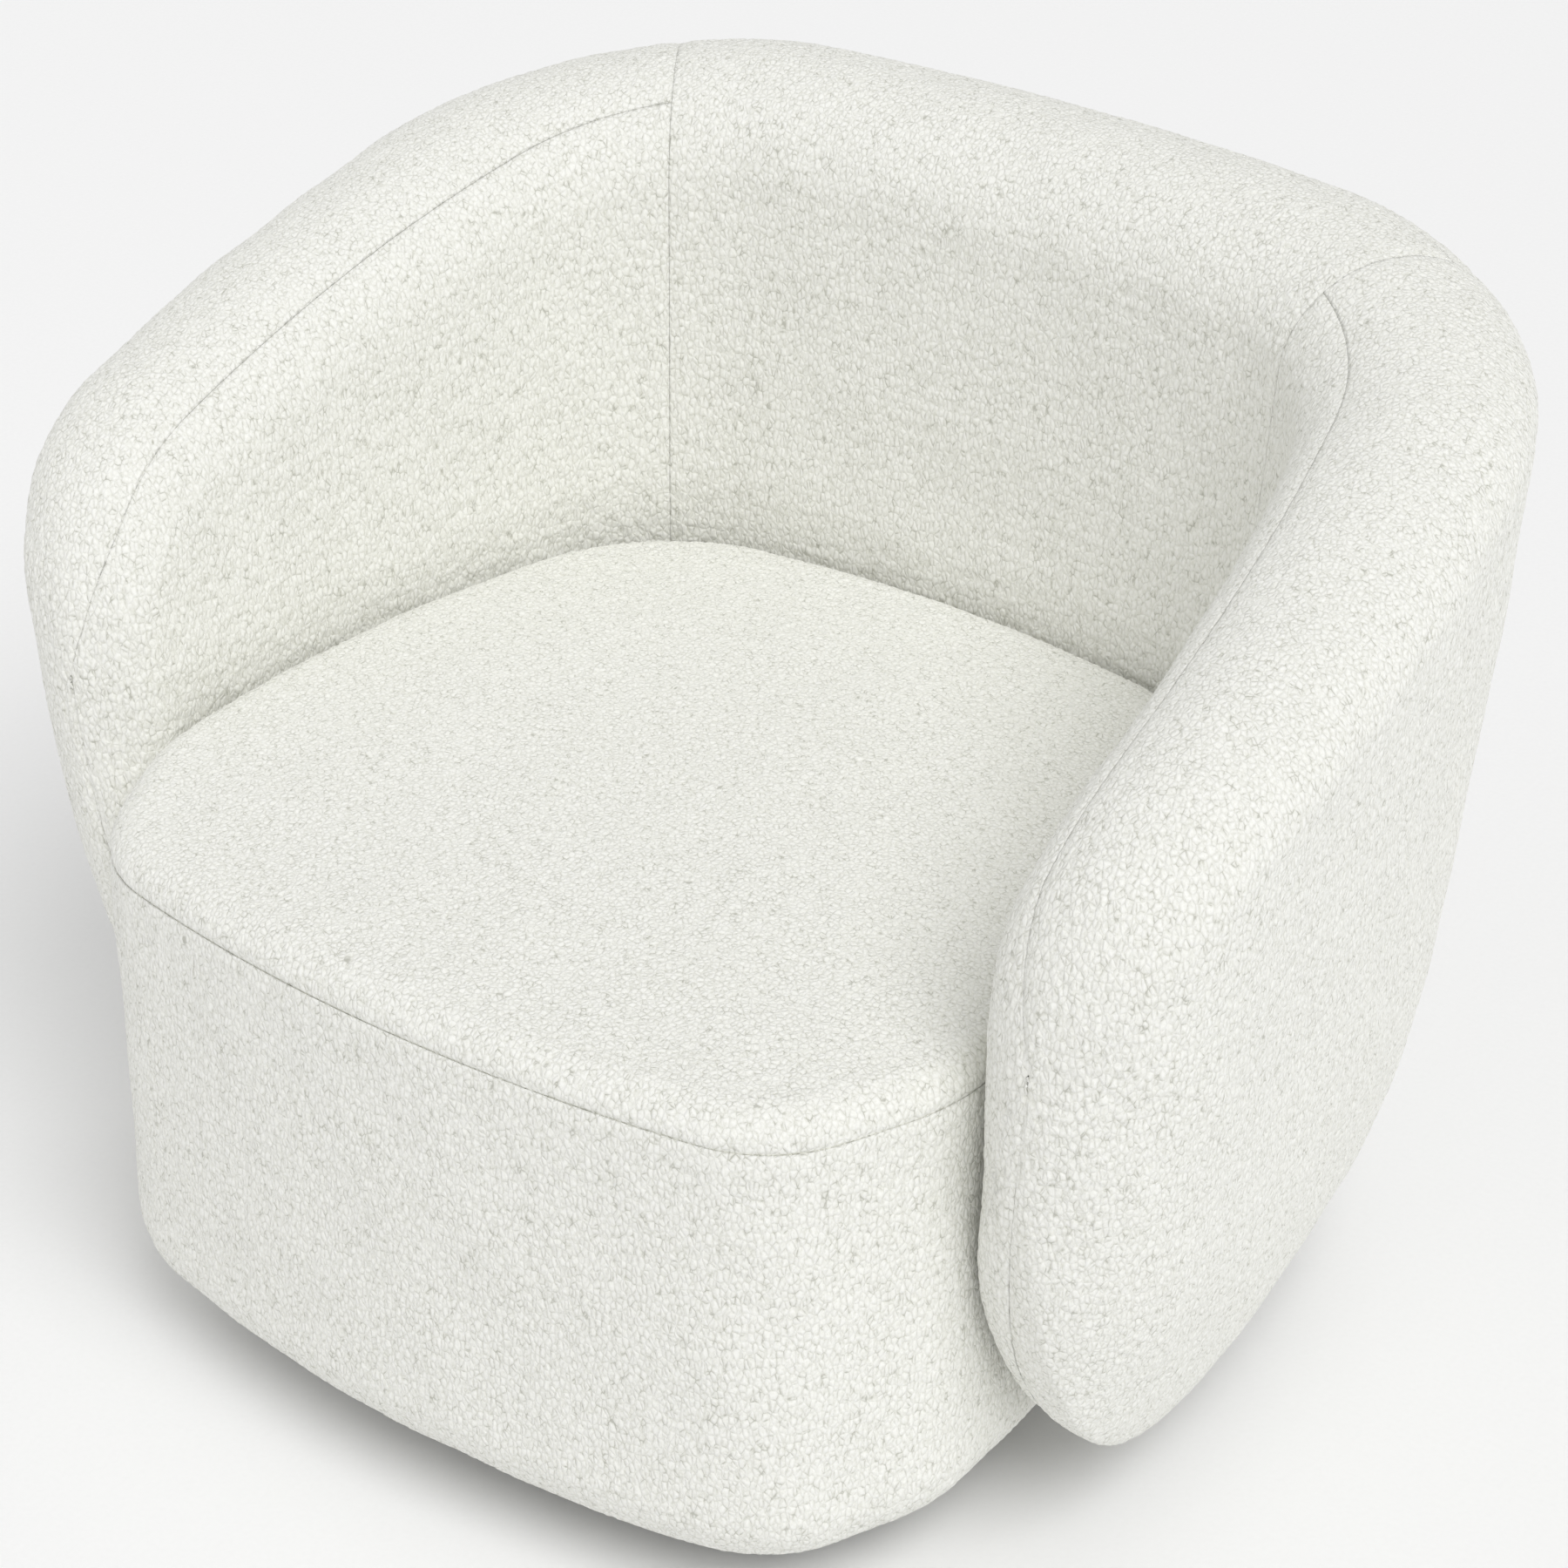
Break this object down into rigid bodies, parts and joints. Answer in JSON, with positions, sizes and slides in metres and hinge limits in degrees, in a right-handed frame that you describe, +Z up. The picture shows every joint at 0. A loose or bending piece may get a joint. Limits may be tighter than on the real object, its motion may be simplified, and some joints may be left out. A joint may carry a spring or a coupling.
{
  "type": "armchair",
  "caption": "Upholstered tub armchair on a hidden swivel base: a deep seat block inside one thick padded wall that forms the back and both sloping arms",
  "frame": {"origin": "on the floor, at the middle of the chair's footprint box, on the turning axis", "axes": "+Z up, the seat opens towards -Y, +X to the right when looking along +Y at the front"},
  "size_m": [0.9404, 0.7901, 0.7255],
  "materials": {
    "bearing_steel": "polished steel balls",
    "black_board": "black-stained wooden disc",
    "black_steel": "black powder-coated pressed steel",
    "boucle_fabric": "ivory boucle knit, tufted loops",
    "felt": "pressed fibre pad",
    "foam": "open-cell upholstery foam",
    "glide_plastic": "black polymer glide",
    "hardboard": "smooth bent hardboard",
    "hardwood": "planed beech",
    "lining_fabric": "black non-woven cambric",
    "nylon": "natural nylon",
    "plywood": "raw plywood",
    "zinc_steel": "zinc-plated steel"
  },
  "bodies": {
    "base": {"base_glides": "glide_plastic", "base_disc": "black_board", "swivel_lower_plate": "black_steel", "centre_tube": "zinc_steel", "lower_plate_screws": "zinc_steel"},
    "ball_ring": {"bearing_balls": "bearing_steel", "ball_cage": "nylon"},
    "chair": {"swivel_upper_plate": "black_steel", "upper_plate_bolts": "zinc_steel", "t_nuts": "zinc_steel", "bottom_board": "plywood", "cross_rails": "hardwood", "corner_blocks": "hardwood", "seat_front_rail": "plywood", "seat_rear_rail": "plywood", "seat_left_rail": "plywood", "seat_right_rail": "plywood", "seat_springs": "zinc_steel", "spring_clips": "zinc_steel", "spring_felt": "felt", "seat_cushion_foam": "foam", "seat_wall_foam": "foam", "seat_top_cover": "boucle_fabric", "seat_boxing": "boucle_fabric", "dust_cover": "lining_fabric", "joining_bolts": "zinc_steel", "threaded_inserts": "zinc_steel", "wall_sill": "plywood", "back_top_rail": "plywood", "arm_top_rails": "plywood", "toe_rails": "plywood", "tip_posts": "hardwood", "arm_posts": "hardwood", "back_posts": "hardwood", "mid_rails": "hardwood", "inner_lining": "hardboard", "outer_lining": "hardboard", "inside_back_foam": "foam", "inside_back_panel": "boucle_fabric", "outside_back_foam": "foam", "outside_back_panel": "boucle_fabric", "inside_arm_left_foam": "foam", "inside_arm_left_panel": "boucle_fabric", "outside_arm_left_foam": "foam", "outside_arm_left_panel": "boucle_fabric", "inside_arm_right_foam": "foam", "inside_arm_right_panel": "boucle_fabric", "outside_arm_right_foam": "foam", "outside_arm_right_panel": "boucle_fabric"}
  },
  "joints": [
    {"name": "chair_swivel", "type": "hinge", "parent": "base", "child": "chair", "pos_m": [0, 0, 0.03], "axis": [0, 0, 1], "continuous": true},
    {"name": "ball_ring_turn", "type": "hinge", "parent": "base", "child": "ball_ring", "pos_m": [0, 0, 0.03], "axis": [0, 0, 1], "continuous": true}
  ],
  "couplings": [
    {"joint": "ball_ring_turn", "follows": "chair_swivel", "ratio": 0.5}
  ]
}
